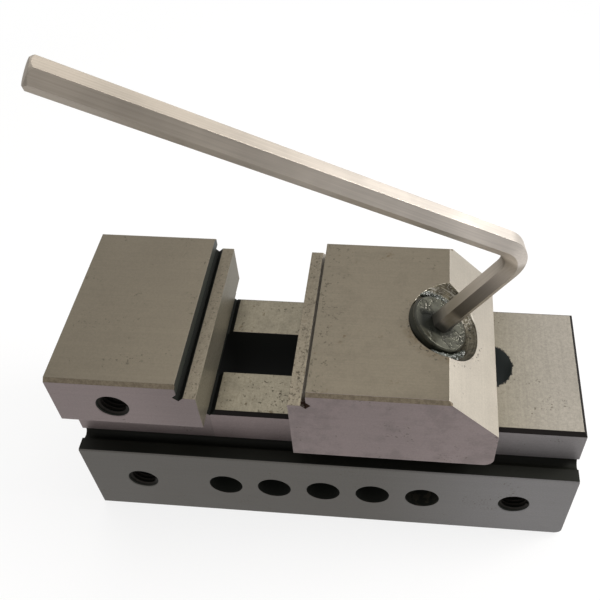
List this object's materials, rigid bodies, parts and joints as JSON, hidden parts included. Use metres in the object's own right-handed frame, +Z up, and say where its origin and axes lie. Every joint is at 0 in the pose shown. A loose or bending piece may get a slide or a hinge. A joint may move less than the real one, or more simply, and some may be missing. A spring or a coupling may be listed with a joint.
{
  "type": "toolmaker vise",
  "caption": "Toolmaker vise with a one-piece slotted body, a saddle jaw drawn down by a slanted hex socket screw and a cross pin under the bed.",
  "frame": {"origin": "on the base face, midway across the width, below the tapped side holes at the fixed-jaw end", "axes": "+X along the vise away from the fixed jaw, +Y across it, +Z up from the base"},
  "size_m": [0.204, 0.0849, 0.2239],
  "materials": {
    "vise_body": "ground",
    "sliding_jaw": "ground",
    "clamp_screw": "turned and oiled",
    "cross_pin": "turned",
    "hex_key": "satin plated"
  },
  "bodies": {
    "body": {"vise_body": "vise_body"},
    "jaw": {"sliding_jaw": "sliding_jaw"},
    "screw": {"clamp_screw": "clamp_screw"},
    "pin": {"cross_pin": "cross_pin"},
    "key": {"hex_key": "hex_key"}
  },
  "joints": [
    {"name": "jaw_slide", "type": "slide", "parent": "body", "child": "jaw", "axis": [1, 0, 0], "range_m": [-0.0209, 0.0418]},
    {"name": "screw_turn", "type": "hinge", "parent": "jaw", "child": "screw", "pos_m": [0.12322, 0, 0.08924], "axis": [0.5592, 0, 0.829], "range_deg": [-2160, 0]},
    {"name": "pin_travel", "type": "slide", "parent": "jaw", "child": "pin", "axis": [0.5592, 0, 0.829], "range_m": [0, 0.00901]},
    {"name": "key_lift", "type": "slide", "parent": "screw", "child": "key", "axis": [0.5592, 0, 0.829], "range_m": [0, 0.03]}
  ],
  "couplings": [
    {"joint": "pin_travel", "follows": "screw_turn", "m_per_rad": -0.00023873}
  ]
}
